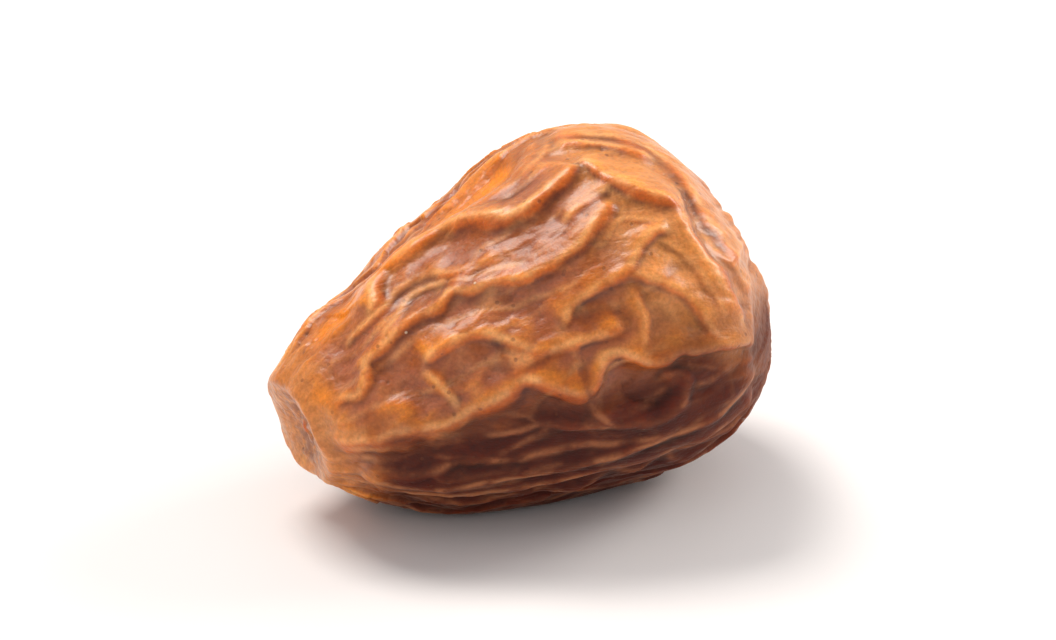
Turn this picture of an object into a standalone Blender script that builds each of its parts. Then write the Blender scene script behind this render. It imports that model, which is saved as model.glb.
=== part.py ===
"""A semi-dry date fruit lying on the small flat spot of its underside.

Metres, +Z up.  The stylar tip is towards -X and the calyx end towards +X.
The origin is on the resting plane, under the middle of the fruit.

On the fruit's skin a place is given by its share of the length, from tip to
calyx end, and by its bearing round the axis: 0 is the top, 90 is -Y, 180 is
the underside and 270 is +Y.
"""

import bmesh
import bpy
import numpy as np
from math import cos, pi, radians, sin
from mathutils import Matrix, Vector

# The fruit
LENGTH = 0.0358             # tip to calyx end, along the fruit's own axis
BREADTH = 0.0266            # across the widest place
AXIS_RISE = 16.5            # how far the axis climbs towards the calyx end, degrees
TIP_LIFT = 0.0010           # how far the tip is bent up from the axis
TIP_BEND = 0.0090           # length of the bend, from the tip
SHOULDER_SLANT = 0.13       # slope of the calyx end across the axis
SLANT_FROM = 0.45           # the slope grows from this share of the length
SLANT_BEARING = 25          # side on which the slanted end is nearest to the tip
CORNER_DEPTH = 0.0003       # how far the three rounded corners stand out
CORNER_BEARING = 76

# The scar of the stylar tip
SCAR_RADIUS = 0.0031        # where the rounded rim starts
SCAR_DEPTH = 0.0006
# From its middle outwards: share of the depth, share of the radius
SCAR_PROFILE = [(1.0, 0.0), (0.9, 0.45), (0.3, 0.85)]

# The calyx remnant and the crater that it sits in
CALYX_RADIUS = 0.0037       # to the ends of its lobes
CALYX_LOBES = 6
CALYX_LOBE_DEPTH = 0.0004   # how far the edge draws in between the lobes
CALYX_THICKNESS = 0.0007
CALYX_CUP = 0.0003          # how far the lobes curl out over the middle
PLUG_RADIUS = 0.0015        # stump of the fibres in the middle
PLUG_HEIGHT = 0.0005
# Rings from the middle of its underside, round the edge and up to the stump:
# share of the thickness, share of the edge's radius, share of the curl
CALYX_RINGS = [(0.0, 0.55, 0.0), (0.0, 0.96, 0.0), (0.35, 1.0, 0.3),
               (0.8, 0.97, 1.0), (1.0, 0.88, 0.9), (1.0, 0.66, 0.25)]
# Rings of the stump: share of its height, share of its radius
PLUG_RINGS = [(0.0, 1.15), (0.7, 1.0), (1.0, 0.8)]
CLEARANCE = 0.0003          # gap between the calyx and the flesh round it
CRATER_DEPTH = 0.0010       # below the top of its rounded lip
LIP = 0.0006                # radius of the lip

# The flat spot underneath
FLAT_DEPTH = 0.0005         # how much of the round underside it takes off
REST_HALF_ANGLE = 30        # the skin is smooth this far to both sides of the underside
REST_FROM = 0.06            # and between these shares of the length
REST_TO = 0.68
REST_FADE = 0.1             # share of the length over which the folds die down at its ends
REST_FOLDS = 0.1            # what is left of the folds there

# The folds of the shrunken skin
FOLD_HEIGHT = 0.00042
FOLD_WIDTH = 0.00085
HIDDEN_FOLDS = 9            # folds over the underside and the +Y side
FIRST_HIDDEN_FOLD = 134
LAST_HIDDEN_FOLD = 308
HIDDEN_PLACES = 7           # places that each of them runs through
HIDDEN_START = 0.08         # share of the length where the first one starts
HIDDEN_STAGGER = 0.09       # the next two each start this much later, and so on
HIDDEN_END = 0.92
HIDDEN_HEIGHTS = (0.8, 1.0) # in turn, as shares of the common height
HIDDEN_WIDTH = 1.1
FOLD_SWAY = 5.0             # how far a hidden fold wanders from its bearing, degrees
SWAY_STEP = 1.9             # radians of that wandering from place to place
SWAY_SHIFT = 2.3            # and from one fold to the next
SCAR_MARGIN = 0.0020        # over this distance the folds start beside the scar
CRATER_MARGIN = 0.0028      # and beside the crater

# Mesh fineness
STEPS_AROUND = 80
STEPS_ALONG = 38
CALYX_STEPS = 48

# Skin outline from the scar's rim to the calyx end: share of the length, and
# share of half the breadth
OUTLINE = [(0.019, 0.362), (0.044, 0.430), (0.090, 0.530), (0.150, 0.625),
           (0.230, 0.715), (0.335, 0.812), (0.450, 0.900), (0.560, 0.966),
           (0.660, 1.000), (0.750, 0.990), (0.835, 0.925), (0.895, 0.820),
           (0.940, 0.670), (0.972, 0.475), (0.991, 0.240), (1.000, 0.000)]

# Folds of the side that faces -Y.  Each has its height and width as shares of
# the common ones, and the places it runs through: share of length, bearing.
FOLDS = [
    (1.7, 2.4, [(0.05, 75), (0.15, 74), (0.26, 73), (0.38, 71), (0.46, 77), (0.52, 84)]),
    (1.0, 1.0, [(0.22, 52), (0.27, 50), (0.35, 49), (0.41, 57), (0.48, 65), (0.58, 67)]),
    (1.0, 1.1, [(0.12, 47), (0.15, 38), (0.22, 32), (0.34, 30), (0.43, 37), (0.51, 41),
                (0.61, 40), (0.69, 34), (0.76, 26), (0.80, 31), (0.86, 38)]),
    (1.3, 1.2, [(0.20, 9), (0.26, -2), (0.36, -2), (0.43, 1), (0.50, 13), (0.56, 18),
                (0.64, 16), (0.71, 12), (0.77, 20)]),
    (0.9, 1.0, [(0.48, 60), (0.54, 56), (0.65, 54), (0.71, 50), (0.77, 46), (0.85, 46)]),
    (1.1, 1.0, [(0.49, 84), (0.55, 77), (0.60, 75), (0.65, 81), (0.69, 83), (0.74, 82),
                (0.81, 86), (0.88, 92)]),
    (0.9, 1.0, [(0.51, 89), (0.55, 97), (0.62, 102), (0.68, 102), (0.71, 94)]),
    (0.9, 1.1, [(0.28, 90), (0.40, 92), (0.52, 98), (0.62, 106), (0.76, 108), (0.88, 104)]),
    (0.8, 1.2, [(0.06, 104), (0.20, 107), (0.40, 111), (0.62, 116), (0.80, 118)]),
    (0.9, 0.9, [(0.69, 55), (0.75, 60), (0.80, 69), (0.84, 80)]),
    (0.9, 1.2, [(0.85, 20), (0.87, 45), (0.87, 70), (0.87, 88)]),
]

# Broad hollow along the top, on the far side of its highest fold
HOLLOW_DEPTH = 0.0010
HOLLOW_WIDTH = 0.0040
HOLLOW = [(0.22, -27), (0.33, -28), (0.46, -24)]


def clear_scene():
    for item in list(bpy.data.objects):
        bpy.data.objects.remove(item, do_unlink=True)


def make_material(name, colour, roughness, subsurface=0.0):
    material = bpy.data.materials.new(name)
    material.use_nodes = True
    shader = material.node_tree.nodes["Principled BSDF"]
    shader.inputs["Base Color"].default_value = (*colour, 1.0)
    shader.inputs["Roughness"].default_value = roughness
    shader.inputs["Metallic"].default_value = 0.0
    shader.inputs["Subsurface Weight"].default_value = subsurface
    shader.inputs["Subsurface Scale"].default_value = 0.002
    return material


def finish(bm, name, material):
    mesh = bpy.data.meshes.new(name)
    bmesh.ops.recalc_face_normals(bm, faces=bm.faces)
    bm.to_mesh(mesh)
    bm.free()
    mesh.materials.append(material)
    mesh.shade_smooth()
    mesh.set_sharp_from_angle(angle=radians(50))
    piece = bpy.data.objects.new(name, mesh)
    bpy.context.scene.collection.objects.link(piece)
    return piece


def ease(value):
    value = np.clip(value, 0.0, 1.0)
    return value * value * (3.0 - 2.0 * value)


def smooth_through(points, steps):
    # A Catmull-Rom curve through the points, with equal steps in each stretch
    points = np.array(points, dtype=float)
    ends = np.vstack([2 * points[0] - points[1], points, 2 * points[-1] - points[-2]])
    curve = []
    for i in range(len(points) - 1):
        a, b, c, d = ends[i:i + 4]
        for t in np.arange(steps) / steps:
            curve.append(0.5 * (2 * b + (c - a) * t + (2 * a - 5 * b + 4 * c - d) * t ** 2
                                + (3 * b - a - 3 * c + d) * t ** 3))
    curve.append(points[-1])
    return np.array(curve)


def along(curve, count):
    # The curve again, in equal lengths
    lengths = np.concatenate([[0.0], np.cumsum(np.linalg.norm(np.diff(curve, axis=0), axis=1))])
    wanted = np.linspace(0.0, lengths[-1], count + 1)
    return np.column_stack([np.interp(wanted, lengths, curve[:, i]) for i in range(2)])


def crater_radius():
    return CALYX_RADIUS + CLEARANCE


def skin_outline():
    # Distance from the tip plane and from the axis, all the way along the skin
    curve = smooth_through(OUTLINE, 24) * (LENGTH, BREADTH / 2)
    widest = curve[np.argmax(curve[:, 1]), 0]
    rising = curve[:, 0] < widest
    lip_radius = crater_radius() + LIP
    return curve[rising | (curve[:, 1] > lip_radius)]


def crater_floor():
    return skin_outline()[-1][0] - CRATER_DEPTH


def fruit_profile():
    # The whole turned profile: scar, rounded rim, skin, lip, crater
    skin = along(skin_outline(), STEPS_ALONG)
    start, end = skin[0], skin[-1]
    scar = [(SCAR_DEPTH * depth, SCAR_RADIUS * share) for depth, share in SCAR_PROFILE]
    for turn in (radians(0), radians(30), radians(60)):
        scar.append((start[0] * (1 - cos(turn)),
                     SCAR_RADIUS + (start[1] - SCAR_RADIUS) * sin(turn)))
    crater = []
    for turn in (radians(30), radians(60), radians(90)):
        crater.append((end[0] - LIP * (1 - cos(turn)), end[1] - LIP * sin(turn)))
    for share in (1.0, 0.5, 0.0):
        crater.append((crater_floor(), crater_radius() * share))
    return scar + [tuple(point) for point in skin] + crater


def fold_relief(share, bearing, radius, places, width):
    # 1 on the line through the places, falling away to both sides
    line = smooth_through(places, 4)
    nearest = np.full(len(share), 1.0)
    for (share_a, bearing_a), (share_b, bearing_b) in zip(line[:-1], line[1:]):
        turn = (bearing - bearing_a + 180.0) % 360.0 - 180.0
        x = (share - share_a) * LENGTH
        y = np.radians(turn) * radius
        run = (share_b - share_a) * LENGTH
        rise = np.radians(bearing_b - bearing_a) * radius
        t = np.clip((x * run + y * rise) / (run ** 2 + rise ** 2 + 1e-12), 0.0, 1.0)
        nearest = np.minimum(nearest, np.hypot(x - t * run, y - t * rise))
    return np.exp(-(nearest / width) ** 2)


def hidden_folds():
    folds = []
    for i, bearing in enumerate(np.linspace(FIRST_HIDDEN_FOLD, LAST_HIDDEN_FOLD, HIDDEN_FOLDS)):
        start = HIDDEN_START + HIDDEN_STAGGER * (i % 3)
        places = []
        for j, share in enumerate(np.linspace(start, HIDDEN_END, HIDDEN_PLACES)):
            places.append((share, bearing + FOLD_SWAY * sin(SWAY_STEP * j + SWAY_SHIFT * i)))
        folds.append((HIDDEN_HEIGHTS[i % 2], HIDDEN_WIDTH, places))
    return folds


def wrinkle(bm):
    # Corners and folds move the turned skin in and out from the axis
    points = np.array([vert.co for vert in bm.verts])
    radius = np.hypot(points[:, 1], points[:, 2])
    share = points[:, 0] / LENGTH
    bearing = np.degrees(np.arctan2(-points[:, 1], points[:, 2]))
    relief = CORNER_DEPTH * np.cos(3 * np.radians(bearing - CORNER_BEARING))
    for height, width, places in FOLDS + hidden_folds():
        relief += height * FOLD_HEIGHT * fold_relief(share, bearing, radius, places,
                                                     width * FOLD_WIDTH)
    relief -= HOLLOW_DEPTH * fold_relief(share, bearing, radius, HOLLOW, HOLLOW_WIDTH)
    # No folds on the scar or in the crater, and hardly any where the fruit rests
    skin = (ease((radius - SCAR_RADIUS) / SCAR_MARGIN)
            * ease((radius - crater_radius() - LIP) / CRATER_MARGIN))
    resting = (ease((np.abs(bearing) - 180 + REST_HALF_ANGLE) / (REST_HALF_ANGLE / 2))
               * ease((share - REST_FROM) / REST_FADE) * ease((REST_TO - share) / REST_FADE))
    skin *= 1.0 - (1.0 - REST_FOLDS) * resting
    scale = 1.0 + relief * skin / np.maximum(radius, 1e-6)
    for vert, factor in zip(bm.verts, scale):
        vert.co.y *= factor
        vert.co.z *= factor


def bend(bm):
    # The tip turns up a little and the calyx end is slanted
    for vert in bm.verts:
        x, y, z = vert.co
        slope = SHOULDER_SLANT * float(ease((x / LENGTH - SLANT_FROM) / (1.0 - SLANT_FROM)))
        side = z * cos(radians(SLANT_BEARING)) - y * sin(radians(SLANT_BEARING))
        vert.co.x = x - slope * side
        vert.co.z = z + TIP_LIFT * float(ease(1.0 - x / TIP_BEND))


def lay_down(bm, drop):
    # Tilt the axis, then lower everything by the same drop
    turn = Matrix.Rotation(-radians(AXIS_RISE), 4, "Y")
    bmesh.ops.transform(bm, matrix=Matrix.Translation((0.0, 0.0, -drop)) @ turn, verts=bm.verts)


def lowest(bm):
    return min(vert.co.z for vert in bm.verts)


def turned_fruit():
    bm = bmesh.new()
    verts = [bm.verts.new((x, 0.0, r)) for x, r in fruit_profile()]
    chain = [bm.edges.new(pair) for pair in zip(verts[:-1], verts[1:])]
    bmesh.ops.spin(bm, geom=verts + chain, cent=(0.0, 0.0, 0.0), axis=(1.0, 0.0, 0.0),
                   angle=2 * pi, steps=STEPS_AROUND)
    bmesh.ops.remove_doubles(bm, verts=bm.verts, dist=0.000005)
    return bm


def make_fruit(material):
    bm = turned_fruit()
    wrinkle(bm)
    bend(bm)
    lay_down(bm, 0.0)
    drop = lowest(bm) + FLAT_DEPTH
    bmesh.ops.translate(bm, vec=(0.0, 0.0, -drop), verts=bm.verts)
    bmesh.ops.bisect_plane(bm, geom=bm.verts[:] + bm.edges[:] + bm.faces[:], dist=0.000001,
                           plane_co=(0.0, 0.0, 0.0), plane_no=(0.0, 0.0, 1.0), clear_inner=True)
    rim = [edge for edge in bm.edges if edge.is_boundary]
    bmesh.ops.holes_fill(bm, edges=rim)
    return finish(bm, "fruit", material), drop


def calyx_edge(angle):
    # The lobes' ends reach the full radius and the edge draws in between them
    return CALYX_RADIUS - CALYX_LOBE_DEPTH * (1 - abs(cos(angle * CALYX_LOBES / 2)))


def make_calyx(material, drop):
    bm = bmesh.new()
    base = crater_floor() + CLEARANCE
    top = base + CALYX_THICKNESS
    loops = []
    for level, share, curl in CALYX_RINGS:
        x = base + level * CALYX_THICKNESS + curl * CALYX_CUP
        loop = []
        for i in range(CALYX_STEPS):
            angle = 2 * pi * i / CALYX_STEPS
            r = share * calyx_edge(angle)
            loop.append(bm.verts.new((x, -r * sin(angle), r * cos(angle))))
        loops.append(loop)
    for level, share in PLUG_RINGS:
        x, r = top + level * PLUG_HEIGHT, share * PLUG_RADIUS
        loop = []
        for i in range(CALYX_STEPS):
            angle = 2 * pi * i / CALYX_STEPS
            loop.append(bm.verts.new((x, -r * sin(angle), r * cos(angle))))
        loops.append(loop)
    edges = []
    for loop in loops:
        edges.append([bm.edges.new((loop[i - 1], loop[i])) for i in range(CALYX_STEPS)])
    for lower, upper in zip(edges[:-1], edges[1:]):
        bmesh.ops.bridge_loops(bm, edges=lower + upper)
    bm.faces.new(loops[0])
    bm.faces.new(loops[-1])
    bend(bm)
    lay_down(bm, drop)
    return finish(bm, "calyx", material)


def centre(pieces):
    # The origin goes under the middle of the whole fruit
    corners = np.array([vert.co for piece in pieces for vert in piece.data.vertices])
    middle = (corners.min(axis=0) + corners.max(axis=0)) / 2
    for piece in pieces:
        piece.data.transform(Matrix.Translation(Vector((-middle[0], -middle[1], 0.0))))


def main():
    clear_scene()
    skin = make_material("date_skin", (0.42, 0.17, 0.05), 0.42, 0.25)
    husk = make_material("calyx_husk", (0.46, 0.31, 0.17), 0.85)
    fruit, drop = make_fruit(skin)
    calyx = make_calyx(husk, drop)
    centre([fruit, calyx])


main()
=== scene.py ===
from math import cos, pi, radians, sin

import bpy
import numpy as np
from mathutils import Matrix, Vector
from mathutils.bvhtree import BVHTree


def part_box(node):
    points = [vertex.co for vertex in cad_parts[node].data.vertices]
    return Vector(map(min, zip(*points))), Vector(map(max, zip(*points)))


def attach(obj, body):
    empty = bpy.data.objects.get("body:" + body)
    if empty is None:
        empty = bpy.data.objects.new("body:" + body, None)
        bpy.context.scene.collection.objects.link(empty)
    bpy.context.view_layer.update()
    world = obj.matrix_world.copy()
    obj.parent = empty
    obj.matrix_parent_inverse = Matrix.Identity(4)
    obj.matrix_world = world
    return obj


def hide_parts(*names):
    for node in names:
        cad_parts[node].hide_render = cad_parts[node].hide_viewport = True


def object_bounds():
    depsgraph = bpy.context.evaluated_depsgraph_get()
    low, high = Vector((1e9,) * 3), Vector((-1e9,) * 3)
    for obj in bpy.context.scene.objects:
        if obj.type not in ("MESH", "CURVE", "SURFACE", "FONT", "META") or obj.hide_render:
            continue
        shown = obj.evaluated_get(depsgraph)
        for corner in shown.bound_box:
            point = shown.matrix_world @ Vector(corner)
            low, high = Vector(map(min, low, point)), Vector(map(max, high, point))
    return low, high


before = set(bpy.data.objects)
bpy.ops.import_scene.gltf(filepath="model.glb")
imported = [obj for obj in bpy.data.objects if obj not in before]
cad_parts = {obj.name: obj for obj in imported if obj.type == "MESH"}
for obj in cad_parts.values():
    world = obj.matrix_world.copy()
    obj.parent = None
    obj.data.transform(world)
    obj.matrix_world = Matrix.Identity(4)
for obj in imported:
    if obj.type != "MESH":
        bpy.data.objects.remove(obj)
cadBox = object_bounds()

# Lengths below are millimetres until a mesh is made, and a place on the skin is
# its distance from the tip along the fruit's axis and its bearing round it:
# 0 is the top, 90 the near side, 180 the underside.
mm = 0.001


def colour(red, green, blue):
    # Screen colour, 0 to 255, as the shader wants it
    parts = [part / 255 for part in (red, green, blue)]
    return tuple(p / 12.92 if p < 0.04045 else ((p + 0.055) / 1.055) ** 2.4 for p in parts)


def deselectAll():
    if bpy.context.object and bpy.context.object.mode != "OBJECT":
        bpy.ops.object.mode_set(mode="OBJECT")
    bpy.ops.object.select_all(action="DESELECT")


def ease(value):
    value = np.clip(value, 0.0, 1.0)
    return value * value * (3.0 - 2.0 * value)


def softNoise(points, size, seed):
    # Smooth random values from -1 to 1, one for each point, with lumps of that size
    table = np.random.default_rng(seed).random((32, 32, 32))
    place = np.asarray(points) / size + 500.0
    cell = np.floor(place).astype(int)
    part = ease(place - cell)
    total = np.zeros(len(place))
    for i in (0, 1):
        for j in (0, 1):
            for k in (0, 1):
                corner = (cell + (i, j, k)) % 32
                weight = (np.where(i, part[:, 0], 1 - part[:, 0])
                          * np.where(j, part[:, 1], 1 - part[:, 1])
                          * np.where(k, part[:, 2], 1 - part[:, 2]))
                total += weight * table[corner[:, 0], corner[:, 1], corner[:, 2]]
    return total * 2.0 - 1.0


# The axis of the fruit, as its solid has it
fruitAxis = {
    "rise": 16.5,           # degrees the axis climbs towards the calyx end
    "length": 35.8,
    "tipLift": 1.0,         # the tip is bent up this much over its first part
    "tipBend": 9.0,
    "slant": 0.13,          # slope of the calyx end across the axis
    "slantFrom": 0.45,      # it grows from this share of the length
    "slantBearing": 25,
}

alongAxis = np.array([cos(radians(fruitAxis["rise"])), 0.0, sin(radians(fruitAxis["rise"]))])
upAxis = np.array([-alongAxis[2], 0.0, alongAxis[0]])
nearAxis = np.array([0.0, -1.0, 0.0])


def meshPoints(obj):
    points = np.zeros(len(obj.data.vertices) * 3)
    obj.data.vertices.foreach_get("co", points)
    return points.reshape(-1, 3)


def axisStart():
    # The middle of the tip plane: back along the axis from the calyx's middle
    low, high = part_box("calyx")
    calyxMiddle = np.array((low + high) / 2)
    tipPlane = (meshPoints(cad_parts["fruit"]) @ alongAxis).min()
    return calyxMiddle - alongAxis * (calyxMiddle @ alongAxis - tipPlane)


def skinPlace(points):
    # Distance from the tip, bearing and distance from the axis, in mm and degrees
    away = (points - axisStart()) / mm
    reach, up, near = away @ alongAxis, away @ upAxis, away @ nearAxis
    side = up * cos(radians(fruitAxis["slantBearing"])) + near * sin(radians(fruitAxis["slantBearing"]))
    slantFrom = fruitAxis["slantFrom"]
    slope = fruitAxis["slant"] * ease((reach / fruitAxis["length"] - slantFrom) / (1 - slantFrom))
    reach = reach + slope * side
    up = up - fruitAxis["tipLift"] * ease(1.0 - reach / fruitAxis["tipBend"])
    return reach, np.degrees(np.arctan2(near, up)), np.hypot(up, near)


# Each fold: height, width, then the places that its crest runs through. The
# steep side is on the right hand of someone walking along it.
nearFolds = [
    # the long fold under the middle, with the spur that climbs from it
    (0.75, 1.00, [(0.9, 77), (3, 77), (5.9, 76), (8.1, 76.5), (9.6, 74.5), (11.3, 73), (12.8, 72),
                  (13.9, 70.5), (14.8, 71.5), (15.6, 74), (16.3, 77.6), (17, 81), (18.2, 82.7)]),
    (0.50, 0.45, [(9.2, 73), (9.0, 66), (8.6, 59), (8.2, 55), (8.1, 52)]),
    (0.55, 0.55, [(8.1, 52.2), (8.6, 50.2), (9.6, 49.5), (11, 49.3), (12.4, 49.5), (13.1, 51.3),
                  (13.7, 55), (14.4, 58.6), (15.3, 62), (16.6, 65), (18.5, 67), (20.5, 67.6), (22.6, 68)]),
    # the fold that curls round the hollow behind the tip
    (0.45, 0.60, [(2.0, 48), (2.9, 52), (3.5, 54), (4.2, 49.8), (4.5, 45), (4.8, 39), (5.4, 37.6),
                  (6.2, 36.8), (7.3, 33.6), (8.4, 32), (9.6, 31.6), (10.8, 32.2), (11.7, 30.3), (12.4, 29.3),
                  (13, 31), (13.7, 34.4), (15, 35.8), (16.4, 38), (17.8, 40), (19.4, 40.3),
                  (21.2, 40), (22.6, 38.6), (24, 35.4), (25.2, 32), (26.6, 29.6)]),
    (0.40, 0.50, [(6.9, 32.4), (8, 28), (8.7, 25), (9.3, 21.7), (10.1, 19.3), (11, 19), (11.9, 21.6),
                  (12.8, 25.2), (13.8, 28.2), (14.8, 31), (16.4, 33.2), (18, 34.4)]),
    (0.45, 0.50, [(4.2, 20), (4.9, 17), (6, 16.2), (7.2, 16.2), (8.3, 15.5), (9.3, 13.2), (10.2, 13),
                  (11.2, 14), (12, 15.8), (12.7, 18.6), (13.4, 22.6), (14.2, 25.6), (15.4, 27.8),
                  (17, 28.6)]),
    # the highest fold, over the clear groove along the top
    (0.70, 0.70, [(6.6, 14), (7.6, 10.6), (8.1, 5.5), (8.8, 1.5), (9.6, -3), (10.6, -2), (12.2, -1),
                  (14, -1), (14.9, 0.3), (15.6, 3.2), (16.5, 6.5), (17.3, 10), (18.1, 13.8),
                  (19, 17), (20.2, 18), (21.6, 17.4), (23, 15.8), (24.4, 14), (25.8, 12)]),
    (0.35, 0.40, [(9.3, -15), (9.5, -10), (9.9, -5)]),
    (0.32, 0.40, [(16.2, 1.5), (17.3, 6), (18.6, 7.6), (20.2, 8.3), (21.6, 7), (23, 5), (24.4, 3.6)]),
    (0.28, 0.32, [(17.6, 1), (19, 3.4), (20.6, 3.6), (22, 1.3), (23.2, -1.5), (24.2, -5), (25, -9),
                  (25.5, -14)]),
    (0.25, 0.32, [(20.4, 0), (22, -3), (23, -6), (23.8, -11), (24.3, -17)]),
    # the folds that cross the shoulder
    (0.45, 0.60, [(25.2, -4), (26.4, -4.6), (27.4, -1.4), (28.7, 0.4), (29.8, 3.4), (31, 6.6),
                  (32.2, 10)]),
    (0.45, 0.60, [(25.4, -12), (26.6, -10), (28, -7.6), (29.6, -5), (31, -1), (32.4, 5), (33, 12),
                  (33.3, 22), (33.3, 34), (33.2, 46), (33.4, 58), (33.6, 68)]),
    (0.60, 0.60, [(25.6, 8), (26.4, 12), (26.9, 17.5), (27.5, 23.5), (28.1, 27.6), (28.9, 31.6),
                  (29.7, 34.8), (30.8, 36.4), (31.6, 40)]),
    (0.45, 0.55, [(22, 29.6), (23.2, 27.3), (24.4, 26.6), (25.6, 25.8), (26.8, 24.4), (27.6, 23.6)]),
    (0.50, 0.50, [(17.6, 61.4), (18.3, 59.6), (19.2, 56), (20.4, 54.2), (22, 53.6), (23.6, 53.6),
                  (24.8, 52.8), (25.6, 50.6), (26.4, 48.2), (27.4, 46.2), (28.6, 44.6), (29.8, 46)]),
    (0.45, 0.50, [(24.3, 54), (25.4, 56), (26.5, 59.6), (27.4, 63.2), (28.1, 67), (28.5, 73),
                  (28.7, 80), (28.9, 85)]),
    (0.55, 0.50, [(17.4, 83.6), (18.2, 82.2), (18.9, 79), (19.6, 75.8), (20.5, 74), (21.4, 74.2),
                  (22.1, 76.6), (22.7, 79.8), (23.5, 81.8), (24.4, 82.6), (25.4, 81.6), (26.2, 82),
                  (27, 84.2), (28.4, 85.6), (29.6, 88.4), (30.8, 92), (32, 97)]),
    (0.40, 0.40, [(23, 79), (23.4, 74.6), (23.8, 71), (24.3, 67.6), (24.5, 62), (24.3, 56)]),
    (0.45, 0.55, [(31.2, 88), (31.1, 78), (31.1, 66), (31, 54), (31.1, 44), (31.7, 34), (32.2, 26)]),
    (0.30, 0.40, [(28.3, 47), (29, 52), (29.6, 56.6), (30, 62), (30.2, 70), (30.2, 80)]),
    (0.25, 0.35, [(32.4, 48), (32.2, 54), (32.5, 61), (32.9, 68), (33.2, 76), (33.8, 84)]),
    # the lower side
    (0.45, 0.50, [(1.2, 84), (3, 83.6), (4.2, 84), (5.0, 86), (5.5, 90.5)]),
    (0.40, 0.45, [(10.2, 88), (11.2, 88.6), (12.6, 89.4), (14, 89.6), (15.2, 92), (16.6, 95),
                  (18.2, 97.4), (19.4, 98.4)]),
    (0.50, 0.50, [(17.8, 87), (18.2, 91), (18.8, 95), (19.7, 98), (20.8, 100), (21.7, 102),
                  (22.8, 103), (23.9, 102), (24.8, 99.6), (25.3, 96), (25.5, 92), (24.8, 89),
                  (23.8, 89), (23.1, 91)]),
    (0.40, 0.50, [(3.2, 101), (4.6, 102.4), (6.2, 101.4), (7.6, 98.6), (9, 99), (10.4, 101),
                  (12, 103.4), (14.2, 103.8), (16.6, 104.4), (19, 107), (21.4, 109.4), (23.6, 110.6)]),
    (0.35, 0.40, [(25.6, 96), (27, 97.4), (28.6, 97.2), (30, 98.4), (31.4, 102)]),
    (0.60, 0.60, [(2.2, 109), (4.2, 112.6), (7, 113.2), (10, 112.6), (13, 113.6), (16, 113.2),
                  (19, 112.4), (22, 112), (25, 113), (28, 112.6), (30.6, 110.4)]),
    (0.60, 0.60, [(3, 122), (6, 121), (9, 121.4), (12, 123), (15, 122.4), (18, 121), (21, 122),
                  (24.4, 121), (27.4, 122), (30, 121)]),
]
# Hollows: depth, width, how clear the skin is there and how strong the painted orange glow of light through
# it, places
nearHollows = [
    (0.30, 1.2, 0.0, [(5.2, 9), (4.6, 17), (3.8, 28), (3.5, 38), (3.7, 46)]),
    (0.45, 1.9, 1.1, [(8.6, -8), (10.6, -9.4), (13, -10.4), (16, -10.4), (19.6, -12.6), (21.4, -14)]),
    (0.25, 1.5, 0.8, [(2.8, -7), (4.4, -5), (6, -5.4), (7.6, -8)]),
    (0.35, 1.0, 0.0, [(5.6, 56), (7, 62), (7.2, 68)]),
    (0.30, 1.1, 0.0, [(9.6, 60), (11.6, 62), (13.4, 64.6)]),
    (0.30, 1.0, 0.0, [(20.4, 80), (21.2, 84), (22, 87)]),
    (0.10, 0.8, 0.6, [(1.2, 34), (1.4, 41), (1.8, 48)]),
]


def smoothThrough(places, steps):
    # A Catmull-Rom curve through the places
    places = np.array(places, dtype=float)
    ends = np.vstack([2 * places[0] - places[1], places, 2 * places[-1] - places[-2]])
    curve = []
    for i in range(len(places) - 1):
        a, b, c, d = ends[i:i + 4]
        for t in np.arange(steps) / steps:
            curve.append(0.5 * (2 * b + (c - a) * t + (2 * a - 5 * b + 4 * c - d) * t ** 2
                                + (3 * b - a - 3 * c + d) * t ** 3))
    curve.append(places[-1])
    return np.array(curve)


def lineDistance(reach, bearing, radius, places):
    # Distance to the line, with a sign for its side, and how far it is to the
    # nearer end of the line
    line = smoothThrough(places, 3)
    for end, inner in ((0, 2), (-1, -3)):
        line[end] += (line[end] - line[inner]) * 0.6
    steps = np.hypot(np.diff(line[:, 0]), np.radians(np.diff(line[:, 1])) * 11.0)
    passed = np.concatenate([[0.0], np.cumsum(steps)])
    nearest = np.full(len(reach), 1e3)
    side = np.zeros(len(reach))
    along = np.zeros(len(reach))
    for i in range(len(line) - 1):
        turn = (bearing - line[i, 1] + 180.0) % 360.0 - 180.0
        x, y = reach - line[i, 0], np.radians(turn) * radius
        run = line[i + 1, 0] - line[i, 0]
        rise = np.radians(line[i + 1, 1] - line[i, 1]) * radius
        t = np.clip((x * run + y * rise) / (run ** 2 + rise ** 2 + 1e-9), 0.0, 1.0)
        gap = np.hypot(x - t * run, y - t * rise)
        closer = gap < nearest
        nearest[closer] = gap[closer]
        side[closer] = np.sign(run * y - rise * x)[closer]
        along[closer] = (passed[i] + t * steps[i])[closer]
    return nearest, side, np.minimum(along, passed[-1] - along)


wrinkles = {
    "foldGain": 1.22,
    "gentleRun": 6.6,       # length of the slope above a crest, in widths of its fold
    "steepRun": 1.15,       # and of the one below it
    "roundness": 0.26,      # mm over which the crest itself is rounded
    "crestHalf": 0.32,      # half the breadth of the painted highlight line on a crest
    "taper": 1.6,           # over this length a fold dies down at its ends
    "fullHeight": 0.5,      # a fold this high is coloured in full, a lower one less
    "union": 4,             # the higher, the sharper the valleys where folds meet
    "networkHeights": (0.62, 0.23),
    "networkWidths": (0.75, 0.40),
    "networkNear": (0.50, 0.42),    # share left where the listed folds are placed
    "networkCross": 0.35,   # share of the height in folds that run across the fruit
    "sink": 0.45,           # keeps the middle of the wrinkled skin where it was
    "lookRound": 120,       # rounds of averaging that make the skin round a place
}


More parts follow.
